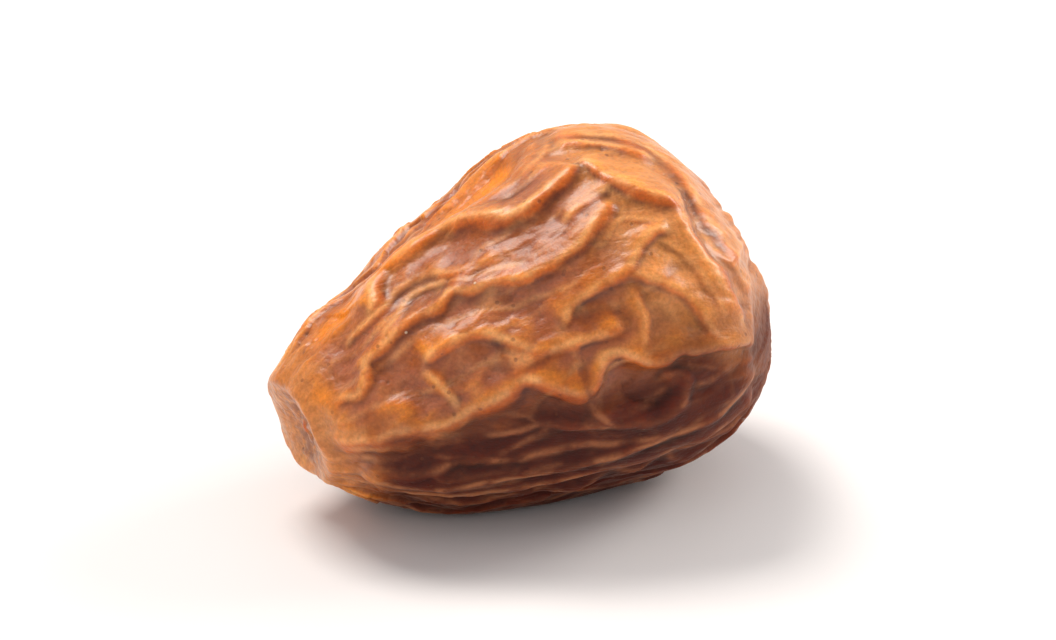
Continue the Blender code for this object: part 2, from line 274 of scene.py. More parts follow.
def slopesOf(gap, width):
    # The long gentle slope above a crest, the short steep one below it, how much of a
    # place lies right under the crest and how much of it is on the crest
    soft = np.hypot(gap, wrinkles["roundness"]) - wrinkles["roundness"]
    gentle = np.clip(1 - soft / (wrinkles["gentleRun"] * width), 0.0, 1.0) ** 1.1
    steep = np.exp(-(soft / (wrinkles["steepRun"] * width)) ** 1.5)
    under = np.exp(-((gap - 0.7 * width) / (0.8 * width)) ** 2)
    return gentle, steep, under, np.exp(-(gap / wrinkles["crestHalf"]) ** 2)


# Two sizes of cell: length along the axis, breadth in degrees of bearing, seed
cellSizes = [(6.5, 17.0, 11), (3.4, 10.0, 12)]


def cellNetwork(reach, bearing, radius, points, size):
    # Long irregular cells all over the skin. Gives the distance to the nearest cell
    # edge, how far that edge runs along the axis, 0 to 1, and how much it is above
    # this place, -1 to 1
    reachStep, turnStep, seed = size
    rng = np.random.default_rng(seed)
    around = int(round(360 / turnStep))
    seeds = []
    for i in range(-1, int(40 / reachStep) + 2):
        for j in range(around):
            seeds.append((i + 0.5 * (j % 2) + rng.uniform(-0.35, 0.35), j + rng.uniform(-0.33, 0.33)))
    seeds = np.array(seeds)
    wide = np.vstack([seeds, seeds + (0, around), seeds - (0, around)])
    u = reach / reachStep + 0.22 * softNoise(points / mm, 0.45 * reachStep, seed + 10)
    v = (bearing % 360.0) / 360.0 * around + 0.28 * softNoise(points / mm, 0.36 * reachStep, seed + 20)
    first = np.full(len(u), 1e3)
    second = np.full(len(u), 1e3)
    firstSeed = np.zeros(len(u), int)
    secondSeed = np.zeros(len(u), int)
    for n, (a, b) in enumerate(wide):
        gap = np.hypot(u - a, v - b)
        best = gap < first
        runnerUp = ~best & (gap < second)
        second = np.where(best, first, np.where(runnerUp, gap, second))
        secondSeed = np.where(best, firstSeed, np.where(runnerUp, n, secondSeed))
        first = np.where(best, gap, first)
        firstSeed = np.where(best, n, firstSeed)
    across = wide[secondSeed] - wide[firstSeed]
    across /= np.linalg.norm(across, axis=1, keepdims=True) + 1e-9
    scale = np.hypot(across[:, 0] * reachStep, across[:, 1] * radians(360 / around) * radius)
    above = -across[:, 1] * np.sin(np.radians(bearing))
    return (second - first) / 2 * scale, np.abs(across[:, 1]), above


def placedFolds(reach, bearing, radius, uneven, broaden):
    # The folds of the near side together: height, what lies under a crest, crests
    power, riser, crest = np.zeros((3, len(reach)))
    for height, width, places in nearFolds:
        gap, side, inside = lineDistance(reach, bearing, radius, places)
        gentle, steep, under, top = slopesOf(gap, width * broaden)
        taper = ease(inside / wrinkles["taper"])
        shade = taper * min(height / wrinkles["fullHeight"], 1.2)
        lift = np.where(side > 0, steep, gentle) * taper
        power += (wrinkles["foldGain"] * height * uneven * lift) ** wrinkles["union"]
        riser = np.maximum(riser, np.where(side > 0, under, 0.0) * shade)
        crest = np.maximum(crest, top * shade)
    return power, riser, crest


def cellFolds(reach, bearing, radius, points, n, broaden):
    # One size of the network of folds that covers the whole skin
    size = cellSizes[n]
    wander = points / mm
    height, width = wrinkles["networkHeights"][n], wrinkles["networkWidths"][n]
    edgeGap, lengthways, above = cellNetwork(reach, bearing, radius, points, size)
    near = ease((bearing + 22) / 10) * ease((134 - bearing) / 10)
    cross = wrinkles["networkCross"]
    strength = (wrinkles["networkNear"][n] * near + (1 - near)) * (cross + (1 - cross) * lengthways)
    strength = strength * (1.0 - 0.25 * ease((reach - 26) / 5))
    strength = np.maximum(strength * (0.75 + 0.5 * softNoise(wander, 4.0, size[2] + 30)), 0.0)
    gentle, steep, under, top = slopesOf(edgeGap, width * broaden)
    steepness = ease(0.5 + 0.8 * above)
    shade = np.minimum(strength * height / wrinkles["fullHeight"], 1.0)
    lift = strength * height * (gentle + (steep - gentle) * steepness)
    return lift, under * steepness * shade, top * shade


def foldRelief(reach, bearing, radius, points):
    # All folds together, and the masks of what lies under and on their crests
    wander = points / mm
    # the lines are warped a little, so that none is a perfect curve
    reachWarped = reach + 0.22 * softNoise(wander, 1.9, 31) + 0.07 * softNoise(wander, 0.8, 37)
    sway = 0.22 * softNoise(wander, 1.8, 32) + 0.07 * softNoise(wander, 0.8, 38)
    bearingWarped = bearing + np.degrees(sway / np.maximum(radius, 3.0))
    uneven = 1.0 + 0.28 * softNoise(wander, 3.2, 39) + 0.06 * softNoise(wander, 1.0, 41)
    broaden = 1.0 + 0.35 * softNoise(wander, 2.9, 40)
    power, riser, crest = placedFolds(reachWarped, bearingWarped, radius, uneven, broaden)
    large, largeRiser, largeCrest = cellFolds(reach, bearing, radius, points, 0, broaden)
    small, smallRiser, smallCrest = cellFolds(reach, bearing, radius, points, 1, broaden)
    riser = np.maximum.reduce([riser, largeRiser, smallRiser])
    crest = np.maximum.reduce([crest, largeCrest, smallCrest])
    # the small folds ride on the slopes of the large ones
    relief = (power + large ** wrinkles["union"]) ** (1 / wrinkles["union"]) + small

    glow = np.zeros(len(points))
    for depth, width, clearSkinPaintedGlow, places in nearHollows:
        gap, side, inside = lineDistance(reachWarped, bearingWarped, radius, places)
        hollow = np.exp(-(gap / width) ** 2) * ease(inside / 2.0 + 0.2)
        relief -= depth * hollow
        glow = np.maximum(glow, clearSkinPaintedGlow * hollow)
    streaks = np.column_stack([reach / 4.0, np.radians(bearing) * radius, radius * 0])
    relief += 0.22 * softNoise(wander * (0.6, 1.0, 1.0), 3.2, 34) + 0.08 * softNoise(wander, 1.5, 35)
    relief += 0.05 * softNoise(streaks, 0.6, 36)
    return relief, riser, crest, glow


fruit = {
    "cuts": (3, 31),        # edge cuts of the starting block, twice over
    "reachRadius": 20.5,    # of the egg that is drawn in onto the fruit
    "sideRadius": 15.5,
    "smoothing": 26,
    "scarRadius": 3.5,
    "scarReach": 5.0,       # nothing of the scar farther along than this
    "scarRim": 0.26,
    "farBulge": 0.60,       # its face swells on the far side
    "nipple": 0.34,         # height of the point that the flower left
    "puckerHeight": 0.26,   # round the crater
    "lipHeight": 0.10,
}


def roundedBlock():
    # A block with a fine even grid, blown up to an egg round the fruit
    deselectAll()
    bpy.ops.mesh.primitive_cube_add(size=2)
    body = bpy.context.object
    body.name = "date_fruit"
    body.data.name = "date_fruit"
    bpy.ops.object.mode_set(mode="EDIT")
    bpy.ops.mesh.select_all(action="SELECT")
    for cuts in fruit["cuts"]:
        bpy.ops.mesh.subdivide(number_cuts=cuts)
    bpy.ops.object.mode_set(mode="OBJECT")
    points = np.tan(meshPoints(body) * pi / 4)
    points /= np.linalg.norm(points, axis=1, keepdims=True)
    size = np.array([fruit["reachRadius"], fruit["sideRadius"], fruit["sideRadius"]]) * mm
    points = points * size
    middle = axisStart() + alongAxis * fruitAxis["length"] / 2 * mm
    points = (middle + points[:, :1] * alongAxis + points[:, 1:2] * -nearAxis
              + points[:, 2:] * upAxis)
    body.data.vertices.foreach_set("co", points.ravel())
    return body


def apply(obj, modifier):
    deselectAll()
    obj.select_set(True)
    bpy.context.view_layer.objects.active = obj
    bpy.ops.object.modifier_apply(modifier=modifier.name)


def drawOnto(body, target):
    wrap = body.modifiers.new("wrap", "SHRINKWRAP")
    wrap.target = target
    wrap.wrap_method = "PROJECT"
    wrap.use_negative_direction = True
    wrap.use_positive_direction = True
    apply(body, wrap)
    relax = body.modifiers.new("relax", "SMOOTH")
    relax.factor = 0.5
    relax.iterations = fruit["smoothing"]
    apply(body, relax)


def addValues(obj, name, values):
    layer = obj.data.attributes.new(name, "FLOAT", "POINT")
    layer.data.foreach_set("value", np.asarray(values, dtype=np.float32))


def spread(obj, values, rounds):
    # Average the values with their neighbours' along the edges, again and again
    ends = np.zeros(len(obj.data.edges) * 2, dtype=np.int32)
    obj.data.edges.foreach_get("vertices", ends)
    a, b = ends.reshape(-1, 2).T
    size = len(values)
    count = np.bincount(a, minlength=size) + np.bincount(b, minlength=size)
    for _ in range(rounds):
        around = np.bincount(a, values[b], size) + np.bincount(b, values[a], size)
        values = 0.5 * values + 0.5 * around / count
    return values


def scarShape(reach, bearing, radius, wander):
    # The flat face at the tip: a rim, fuller on the far side, a shallow dry floor and
    # the point of the flower
    turn = np.radians(bearing)
    oval = radius * (1.0 + 0.07 * np.cos(2 * turn - 0.5)) + 0.30 * softNoise(wander, 2.2, 51)
    front = ease((fruit["scarReach"] - reach) / 2.0)
    away = -radius * np.sin(turn)
    bulge = ease((away + 0.3) / 2.4) * (1 - ease((radius - 3.9) / 2.0))
    rim = np.exp(-((oval - fruit["scarRadius"] - 0.75) / 0.5) ** 2)
    floor = ease((fruit["scarRadius"] - oval) / 0.45) * (1 - 0.8 * ease((away - 0.6) / 1.6))
    nipple = np.exp(-((radius - 0.12 * np.cos(3 * turn)) / 0.5) ** 2)
    rough = softNoise(wander, 0.55, 52) + softNoise(wander, 1.1, 53)
    fan = np.column_stack([np.cos(turn) * 3.0, np.sin(turn) * 3.0, oval * 0.25])
    pucker = softNoise(fan, 0.8, 54) + 0.5 * softNoise(fan, 0.4, 55)
    dry = np.maximum(softNoise(fan * (1, 1, 4), 0.9, 56), 0) * ease(radius / 0.8)
    fringe = np.exp(-((oval - 5.0) / 1.2) ** 2)
    relief = (rim * fruit["scarRim"] * (1 + 0.25 * pucker) + fruit["farBulge"] * bulge
              + floor * (0.11 * rough + 0.22 * dry) + 0.08 * pucker * fringe
              + fruit["nipple"] * nipple)
    return relief * front, floor * front, nipple * front


def craterShape(reach, bearing, radius, wander):
    # Puckers that run in to the calyx, deepest at its edge
    back = ease((reach - fruitAxis["length"] + 6.5) / 3.0)
    around = np.column_stack([np.cos(np.radians(bearing)) * 4.0, np.sin(np.radians(bearing)) * 4.0,
                              radius * 0.12])
    pucker = softNoise(around, 0.75, 61) + 0.6 * softNoise(around, 0.4, 62)
    ring = np.exp(-((radius - 5.2) / 1.5) ** 2)
    lip = np.exp(-((radius - 4.9 - 0.4 * softNoise(wander, 3.0, 63)) / 0.6) ** 2)
    relief = fruit["puckerHeight"] * pucker * ring + fruit["lipHeight"] * lip
    return relief * back, np.exp(-(radius / 6.0) ** 4) * back


def wrinkleFruit(body):
    points = meshPoints(body)
    normals = np.zeros(len(points) * 3)
    body.data.vertices.foreach_get("normal", normals)
    normals = normals.reshape(-1, 3)
    reach, bearing, radius = skinPlace(points)
    wander = points / mm
    relief, riser, crest, glow = foldRelief(reach, bearing, radius, points)

    # calm skin at the scar, in the crater and where the fruit rests
    calm = ease((radius - 4.0) / 1.8) * ease((points[:, 2] / mm - 0.25) / 1.6)
    calm = np.where(reach > fruitAxis["length"] / 2, calm * ease((radius - 4.4) / 2.4), calm)
    relief = (relief - wrinkles["sink"]) * calm
    scarRelief, scar, nipple = scarShape(reach, bearing, radius, wander)
    craterRelief, funnel = craterShape(reach, bearing, radius, wander)
    relief += craterRelief
    points = points + normals * (relief * mm)[:, None] - alongAxis * (scarRelief * mm)[:, None]
    points[:, 2] = np.maximum(points[:, 2], 0.0)
    body.data.vertices.foreach_set("co", points.ravel())
    body.data.update()

    # painted shade: darker towards the underside, with a slower change on the far side and at the ends
    fade = np.where(bearing > 0, 26.0, 60.0) + 30.0 * ease((reach - 27) / 5)
    lower = ease((np.abs(bearing) - 68) / fade + 0.25 * softNoise(wander, 3.4, 64))
    lower *= ease((reach - 1.0) / 3.5) * ease((radius - 3.0) / 5.0)
    ends = np.maximum(ease((reach - 21) / 7), ease((3.5 - reach) / 3))
    addValues(body, "broad", relief - spread(body, relief, wrinkles["lookRound"]))
    # glow: clearer skin in the hollows, with a painted glow of light passing through it
    addValues(body, "glow", glow)
    # riser marks where the painted glow and shade go under the crests, crest where the painted highlight
    # goes
    addValues(body, "riser", riser)
    addValues(body, "crest", crest)
    addValues(body, "scar", scar)
    addValues(body, "nipple", nipple)
    addValues(body, "funnel", funnel)
    addValues(body, "lower", lower)
    addValues(body, "warm", ends * (0.8 + 0.4 * softNoise(wander, 3.6, 65)))
    print("skin wrinkled,", round(float(np.ptp(relief)), 2), "mm from hollow to crest")


def makeFruit():
    body = roundedBlock()
    drawOnto(body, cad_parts["fruit"])
    wrinkleFruit(body)
    deselectAll()
    body.select_set(True)
    bpy.context.view_layer.objects.active = body
    bpy.ops.object.shade_smooth()
    body.data.materials.append(dateSkin())
    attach(body, "root")
    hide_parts("fruit")
    print("fruit:", len(body.data.polygons), "faces")
    return body


calyx = {
    "flakes": 6,
    "innerRadius": 1.15,
    "outerRadius": 3.75,
    "span": 82.0,           # degrees that each flake covers, so neighbours overlap
    "grid": (26, 16),
    "thickness": 0.10,
    "overlap": 0.12,        # every second flake lies this much higher
    "curl": 0.20,           # of the outer edge
    "plugRadius": 1.45,
    "plugHeight": 0.75,
    "fibres": 70,
    "fibreSides": 7,
    "fibreRadius": 0.14,
    "goldenTurn": 2.39996,  # radians from one fibre to the next
}


def calyxFrame():
    # Middle of the calyx, and two directions across it and one out of it
    points = meshPoints(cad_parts["calyx"])
    middle = points.mean(axis=0)
    spreadOut = np.linalg.svd(points - middle, full_matrices=False)[2]
    out = spreadOut[2] * np.sign(spreadOut[2] @ alongAxis)
    across = np.cross(out, nearAxis)
    across /= np.linalg.norm(across)
    return middle, across, np.cross(out, across), out


def ground(skin, x, y):
    # Height of the skin under a place in the calyx's frame, mm
    middle, across, up, out = calyxFrame()
    start = middle + (across * x + up * y + out * 4.0) * mm
    hit = skin.ray_cast(Vector(start), Vector(-out))
    return (np.array(hit[0]) - middle) @ out / mm


def placeOnCalyx(obj, local):
    middle, across, up, out = calyxFrame()
    points = middle + (local[:, :1] * across + local[:, 1:2] * up + local[:, 2:] * out) * mm
    obj.data.vertices.foreach_set("co", points.ravel())
    obj.data.update()


def copyOf(pattern):
    deselectAll()
    pattern.select_set(True)
    bpy.context.view_layer.objects.active = pattern
    bpy.ops.object.duplicate(linked=False)
    return bpy.context.object


def joinAll(pieces, name):
    deselectAll()
    for piece in pieces:
        piece.select_set(True)
    bpy.context.view_layer.objects.active = pieces[0]
    bpy.ops.object.join()
    pieces[0].name = pieces[0].data.name = name
    return pieces[0]


def makeScales(skin, rng):
    # Ragged ribbed flakes in a ring, modelled once as a flat sheet and copied
    deselectAll()
    across, along = calyx["grid"]
    bpy.ops.mesh.primitive_grid_add(x_subdivisions=across, y_subdivisions=along, size=2)
    pattern = bpy.context.object
    points = meshPoints(pattern)
    side, far = points[:, 0], (points[:, 1] + 1) / 2
    flakes = []
    for n in range(calyx["flakes"]):
        flake = copyOf(pattern)
        middleTurn = radians(360 / calyx["flakes"] * n + rng.uniform(-8, 8))
        half = radians(calyx["span"] / 2) * rng.uniform(0.85, 1.1)
        reachOut = calyx["outerRadius"] * rng.uniform(0.86, 1.0)
        rim = np.column_stack([side * 3, far * 0 + n, far * 0])
        ragged = softNoise(rim, 0.5, 70 + n) + 0.8 * softNoise(rim, 1.4, 90 + n)
        edge = reachOut * (1 - 0.10 * side ** 2 - 0.13 * np.abs(ragged))
        spoke = calyx["innerRadius"] + (edge - calyx["innerRadius"]) * far
        turn = middleTurn + side * half * (0.9 - 0.25 * far ** 2) + 0.04 * ragged * far
        x, y = spoke * np.cos(turn), spoke * np.sin(turn)
        base = np.array([ground(skin, a, b) for a, b in zip(x, y)])
        curl = (0.10 + calyx["curl"] * far ** 3 * rng.uniform(0.4, 1.2)
                + 0.14 * np.abs(side) ** 4 * far)
        crinkle = softNoise(np.column_stack([side * 4, far * 1.2, far * 0 + n]), 0.5, 80 + n)
        ribs = 0.035 * np.sin(side * 17 + n)
        z = base + curl + calyx["overlap"] * (n % 2) + 0.09 * crinkle + ribs
        placeOnCalyx(flake, np.column_stack([x, y, z]))
        addValues(flake, "far", far)
        addValues(flake, "side", side * 3 + n * 7)
        flakes.append(flake)
    bpy.data.objects.remove(pattern)
    scales = joinAll(flakes, "date_calyx")
    thicken = scales.modifiers.new("thickness", "SOLIDIFY")
    thicken.thickness = calyx["thickness"] * mm
    thicken.offset = 0.0
    apply(scales, thicken)
    bpy.ops.object.shade_smooth()
    scales.data.materials.append(huskFinish())
    return scales


def makeStem(skin, rng):
    # The stump of the stalk: short fibres in a spiral, modelled once and copied
    deselectAll()
    bpy.ops.mesh.primitive_cylinder_add(vertices=calyx["fibreSides"], radius=1, depth=1)
    pattern = bpy.context.object
    points = meshPoints(pattern)
    upper = points[:, 2] > 0
    base = ground(skin, 0.0, 0.0)
    fibres = []
    for n in range(calyx["fibres"]):
        fibre = copyOf(pattern)
        ring = ((n + 0.5) / calyx["fibres"]) ** 0.5
        spot = calyx["plugRadius"] * ring
        turn = n * calyx["goldenTurn"] + rng.uniform(-0.3, 0.3)
        x, y = spot * cos(turn), spot * sin(turn)
        thick = calyx["fibreRadius"] * rng.uniform(0.7, 1.15)
        top = calyx["plugHeight"] - 0.25 * (1 - ring) + rng.uniform(-0.16, 0.12)
        lean = np.where(upper, 1.0 + 0.12 * ring, 0.92)
        width = np.where(upper, 0.8, 1.0) * thick
        slant = points[:, 0] * 0.05 * rng.uniform(-1, 1)
        z = base + np.where(upper, top + slant, -0.1)
        placeOnCalyx(fibre, np.column_stack([x * lean + points[:, 0] * width,
                                             y * lean + points[:, 1] * width, z]))
        addValues(fibre, "far", np.where(upper, 1.0, 0.0))
        addValues(fibre, "side", np.full(len(points), rng.uniform()))
        fibres.append(fibre)
    bpy.data.objects.remove(pattern)
    stem = joinAll(fibres, "date_stem")
    soften = stem.modifiers.new("soften", "BEVEL")
    soften.width = 0.02 * mm
    soften.segments = 1
    apply(stem, soften)
    bpy.ops.object.shade_smooth()
    stem.data.materials.append(fibreFinish())
    return stem


def makeCalyx(body):
    skin = BVHTree.FromObject(body, bpy.context.evaluated_depsgraph_get())
    rng = np.random.default_rng(5)
    for piece in (makeScales(skin, rng), makeStem(skin, rng)):
        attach(piece, "root")
        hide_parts("calyx")
        print(piece.name, len(piece.data.polygons), "faces")


def newMaterial(name):
    material = bpy.data.materials.new(name)
    material.use_nodes = True
    return material, material.node_tree.nodes, material.node_tree.links


def attribute(nodes, name):
    node = nodes.new("ShaderNodeAttribute")
    node.attribute_name = name
    return node.outputs["Fac"]


def setSocket(links, socket, value):
    # A value may be another node's output, a colour or a plain number
    if isinstance(value, bpy.types.NodeSocket):
        links.new(value, socket)
    elif isinstance(value, tuple):
        socket.default_value = (*value, 1.0)
    else:
        socket.default_value = value


def mixColour(nodes, links, amount, first, second, blend="MIX"):
    node = nodes.new("ShaderNodeMix")
    node.data_type = "RGBA"
    node.blend_type = blend
    for socket, value in (("Factor", amount), ("A", first), ("B", second)):
        setSocket(links, [s for s in node.inputs if s.name == socket and s.enabled][0], value)
    return [s for s in node.outputs if s.enabled][0]


def ramp(nodes, links, value, low, high, start=0.0, end=1.0):
    node = nodes.new("ShaderNodeMapRange")
    node.interpolation_type = "SMOOTHSTEP"
    links.new(value, node.inputs["Value"])
    for name, number in (("From Min", low), ("From Max", high), ("To Min", start), ("To Max", end)):
        setSocket(links, node.inputs[name], number)
    return node.outputs["Result"]


def maths(nodes, links, operation, *values):
    node = nodes.new("ShaderNodeMath")
    node.operation = operation
    for socket, value in zip(node.inputs, values):
        setSocket(links, socket, value)
    return node.outputs["Value"]


def noise(nodes, links, scale, detail=3.0, place=None, roughness=0.5):
    node = nodes.new("ShaderNodeTexNoise")
    setSocket(links, node.inputs["Scale"], scale)
    node.inputs["Detail"].default_value = detail
    node.inputs["Roughness"].default_value = roughness
    if place is not None:
        links.new(place, node.inputs["Vector"])
    return node.outputs["Fac"]


def scaled(nodes, links, base, amount):
    node = nodes.new("ShaderNodeVectorMath")
    node.operation = "SCALE"
    links.new(base, node.inputs[0])
    links.new(amount, node.inputs["Scale"])
    return node.outputs["Vector"]


def addBump(nodes, links, height, strength, distance):
    bump = nodes.new("ShaderNodeBump")
    bump.inputs["Strength"].default_value = strength
    bump.inputs["Distance"].default_value = distance
    links.new(height, bump.inputs["Height"])
    links.new(bump.outputs["Normal"], nodes["Principled BSDF"].inputs["Normal"])


def cellDots(nodes, links, scale, place, small, large, share):
    # Round dots scattered in part of the cells
    cell = nodes.new("ShaderNodeTexVoronoi")
    cell.inputs["Scale"].default_value = scale
    links.new(place, cell.inputs["Vector"])
    split = nodes.new("ShaderNodeSeparateColor")
    links.new(cell.outputs["Color"], split.inputs["Color"])
    chosen = maths(nodes, links, "LESS_THAN", split.outputs[0], share)
    dots = ramp(nodes, links, cell.outputs["Distance"], large, small)
    return maths(nodes, links, "MULTIPLY", dots, chosen)


def crackLines(nodes, links, place):
    # A broken net of fine creases, long way along the fruit
    drift = nodes.new("ShaderNodeTexNoise")
    drift.inputs["Scale"].default_value = 700
    links.new(place, drift.inputs["Vector"])
    shifted = nodes.new("ShaderNodeVectorMath")
    shifted.operation = "MULTIPLY_ADD"
    links.new(drift.outputs["Color"], shifted.inputs[0])
    shifted.inputs[1].default_value = (0.0009, 0.0009, 0.0009)
    links.new(place, shifted.inputs[2])
    net = nodes.new("ShaderNodeTexVoronoi")
    net.feature = "DISTANCE_TO_EDGE"
    net.inputs["Scale"].default_value = 620
    links.new(shifted.outputs["Vector"], net.inputs["Vector"])
    patches = ramp(nodes, links, noise(nodes, links, 300, 3.0, place), 0.44, 0.62)
    return maths(nodes, links, "MULTIPLY", ramp(nodes, links, net.outputs["Distance"], 0.11, 0.0), patches)


def grainGroup():
    # Fine mottling, the same in kind on skin, husk and fibres
    group = bpy.data.node_groups.new("dried grain", "ShaderNodeTree")
    for name in ("Fineness", "Dark", "Light"):
        group.interface.new_socket(name, in_out="INPUT", socket_type="NodeSocketFloat")
    for name in ("Tone", "Height"):
        group.interface.new_socket(name, in_out="OUTPUT", socket_type="NodeSocketFloat")
    nodes, links = group.nodes, group.links
    given, made = nodes.new("NodeGroupInput"), nodes.new("NodeGroupOutput")
    place = nodes.new("ShaderNodeTexCoord").outputs["Object"]
    height = noise(nodes, links, given.outputs["Fineness"], 3.0, place, 0.6)
    tone = ramp(nodes, links, height, 0.3, 0.7, given.outputs["Dark"], given.outputs["Light"])
    links.new(tone, made.inputs["Tone"])
    links.new(height, made.inputs["Height"])
    return group


def addGrain(nodes, fineness, dark, light):
    node = nodes.new("ShaderNodeGroup")
    node.node_tree = bpy.data.node_groups.get("dried grain") or grainGroup()
    for name, value in (("Fineness", fineness), ("Dark", dark), ("Light", light)):
        node.inputs[name].default_value = value
    return node.outputs["Tone"], node.outputs["Height"]


skinFinish = {
    "gold": colour(242, 142, 30),
    "warm": colour(240, 158, 78),       # towards both ends
    "pale": colour(248, 178, 108),      # painted highlight along the very crests
    "brown": colour(160, 78, 20),
    # painted shade in the low places under the crests
    "paintedRiserShade": colour(84, 28, 4),
    "orange": colour(200, 92, 0),       # painted glow of light passing through the skin under the crests; also the colour of the flower's point
    "bloom": colour(168, 92, 56),
    # clearer skin with a painted glow of light passing through it
    "clearSkinPaintedGlow": colour(244, 138, 16),
    "lower": colour(112, 62, 14),       # painted shade that tints the side that faces down
    # painted highlight on the crests of the shaded underside
    "lowerPale": colour(180, 116, 76),
    "scar": colour(152, 102, 80),
    "speck": colour(96, 48, 22),
    "fleck": colour(232, 206, 176),
}


def dateSkin():
    material, nodes, links = newMaterial("date skin")
    shader = nodes["Principled BSDF"]
    place = nodes.new("ShaderNodeTexCoord").outputs["Object"]
    broad = attribute(nodes, "broad")
    riser = attribute(nodes, "riser")
    funnel = attribute(nodes, "funnel")
    uneven = noise(nodes, links, 420, 4.0, place)
    grainTone, grain = addGrain(nodes, 3200, 0.87, 1.13)
    high = ramp(nodes, links, broad, -0.06, 0.30)
    cloud = ramp(nodes, links, uneven, 0.36, 0.57)
    bloom = maths(nodes, links, "MULTIPLY", cloud, ramp(nodes, links, broad, 0.25, -0.10))
    base = mixColour(nodes, links, bloom, skinFinish["brown"], skinFinish["bloom"])
    base = mixColour(nodes, links, high, base, skinFinish["gold"])
    base = mixColour(nodes, links, maths(nodes, links, "MULTIPLY", attribute(nodes, "warm"), 0.55),
                     base, skinFinish["warm"])
    # painted glow and painted shade on the steep side under each crest: orange glow where it stands high,
    # dark shade where it lies low
    under = maths(nodes, links, "MULTIPLY", riser, ramp(nodes, links, uneven, 0.25, 0.50, 0.65, 1.0))
    low = ramp(nodes, links, broad, 0.14, -0.14)
    paintedRiserGlowAndShade = mixColour(nodes, links, low, skinFinish["orange"], skinFinish["paintedRiserShade"])
    base = mixColour(nodes, links, under, base, paintedRiserGlowAndShade)
    # painted highlight: a pale line along the crests
    crest = maths(nodes, links, "MULTIPLY", attribute(nodes, "crest"),
                  ramp(nodes, links, uneven, 0.38, 0.6, 0.15, 0.70))
    base = mixColour(nodes, links, crest, base, skinFinish["pale"])
    base = mixColour(nodes, links, maths(nodes, links, "MULTIPLY", funnel, 0.5), base, skinFinish["brown"])
    # clearer skin in the hollows, with a painted orange glow of light passing through it
    base = mixColour(nodes, links, attribute(nodes, "glow"), base, skinFinish["clearSkinPaintedGlow"])
    # painted shade: the side that faces down is darkened in the colour itself
    base = mixColour(nodes, links, attribute(nodes, "lower"), base, skinFinish["lower"], "MULTIPLY")
    # painted highlight on the crests where the underside shade is painted
    lowerCrest = maths(nodes, links, "MULTIPLY", attribute(nodes, "lower"),
                       maths(nodes, links, "MULTIPLY", crest, 0.90))
    base = mixColour(nodes, links, lowerCrest, base, skinFinish["lowerPale"])
    patchy = noise(nodes, links, 1500, 4.0, place, 0.6)
    scarTone = maths(nodes, links, "MULTIPLY", attribute(nodes, "scar"),
                     ramp(nodes, links, patchy, 0.32, 0.64, 0.15, 0.85))
    base = mixColour(nodes, links, scarTone, base, skinFinish["scar"])
    base = mixColour(nodes, links, ramp(nodes, links, attribute(nodes, "nipple"), 0.2, 0.8), base,
                     skinFinish["orange"])
    specks = cellDots(nodes, links, 1100, place, 0.10, 0.22, 0.22)
    base = mixColour(nodes, links, maths(nodes, links, "MULTIPLY", specks, 0.45), base, skinFinish["speck"])
    flecks = cellDots(nodes, links, 600, place, 0.03, 0.09, 0.06)
    base = mixColour(nodes, links, maths(nodes, links, "MULTIPLY", flecks, 0.8), base, skinFinish["fleck"])
    along = nodes.new("ShaderNodeMapping")
    along.inputs["Rotation"].default_value = (0.0, radians(fruitAxis["rise"]), 0.0)
    along.inputs["Scale"].default_value = (0.25, 1.0, 1.0)
    links.new(place, along.inputs["Vector"])
    cracks = crackLines(nodes, links, along.outputs["Vector"])
    base = scaled(nodes, links, base, ramp(nodes, links, cracks, 0.0, 1.0, 1.0, 0.92))
    base = scaled(nodes, links, base, grainTone)
    links.new(base, shader.inputs["Base Color"])
    dull = maths(nodes, links, "MULTIPLY", attribute(nodes, "lower"), 0.20)
    links.new(maths(nodes, links, "ADD", ramp(nodes, links, grain, 0.3, 0.7, 0.32, 0.46), dull),
              shader.inputs["Roughness"])
    shader.inputs["Specular IOR Level"].default_value = 0.24
    links.new(ramp(nodes, links, attribute(nodes, "lower"), 0.0, 1.0, 0.36, 0.0),
              shader.inputs["Coat Weight"])
    shader.inputs["Coat Roughness"].default_value = 0.25
    shader.inputs["Sheen Weight"].default_value = 0.08
    shader.inputs["Sheen Roughness"].default_value = 0.4
    shader.inputs["Sheen Tint"].default_value = (1.0, 0.74, 0.52, 1.0)
    shader.inputs["Subsurface Weight"].default_value = 0.40
    shader.inputs["Subsurface Radius"].default_value = (0.80, 0.44, 0.20)
    shader.inputs["Subsurface Scale"].default_value = 0.0010

    creases = noise(nodes, links, 1300, 4.0, along.outputs["Vector"], 0.55)
    height = maths(nodes, links, "SUBTRACT", maths(nodes, links, "MULTIPLY", creases, 0.7),
                   maths(nodes, links, "MULTIPLY", cracks, 0.14))
    height = maths(nodes, links, "ADD", height, maths(nodes, links, "MULTIPLY", grain, 0.25))
    height = maths(nodes, links, "SUBTRACT", height, maths(nodes, links, "MULTIPLY", specks, 0.12))
    height = maths(nodes, links, "ADD", height, maths(nodes, links, "MULTIPLY", flecks, 0.2))
    addBump(nodes, links, height, 0.8, 0.00025)
    return material


huskColours = {
    "straw": colour(204, 156, 104),
    "tan": colour(170, 108, 54),
    "brown": colour(110, 66, 34),
    "edge": colour(222, 186, 142),
    "fibre": colour(232, 200, 178),
    "fibreSide": colour(120, 72, 46),
}


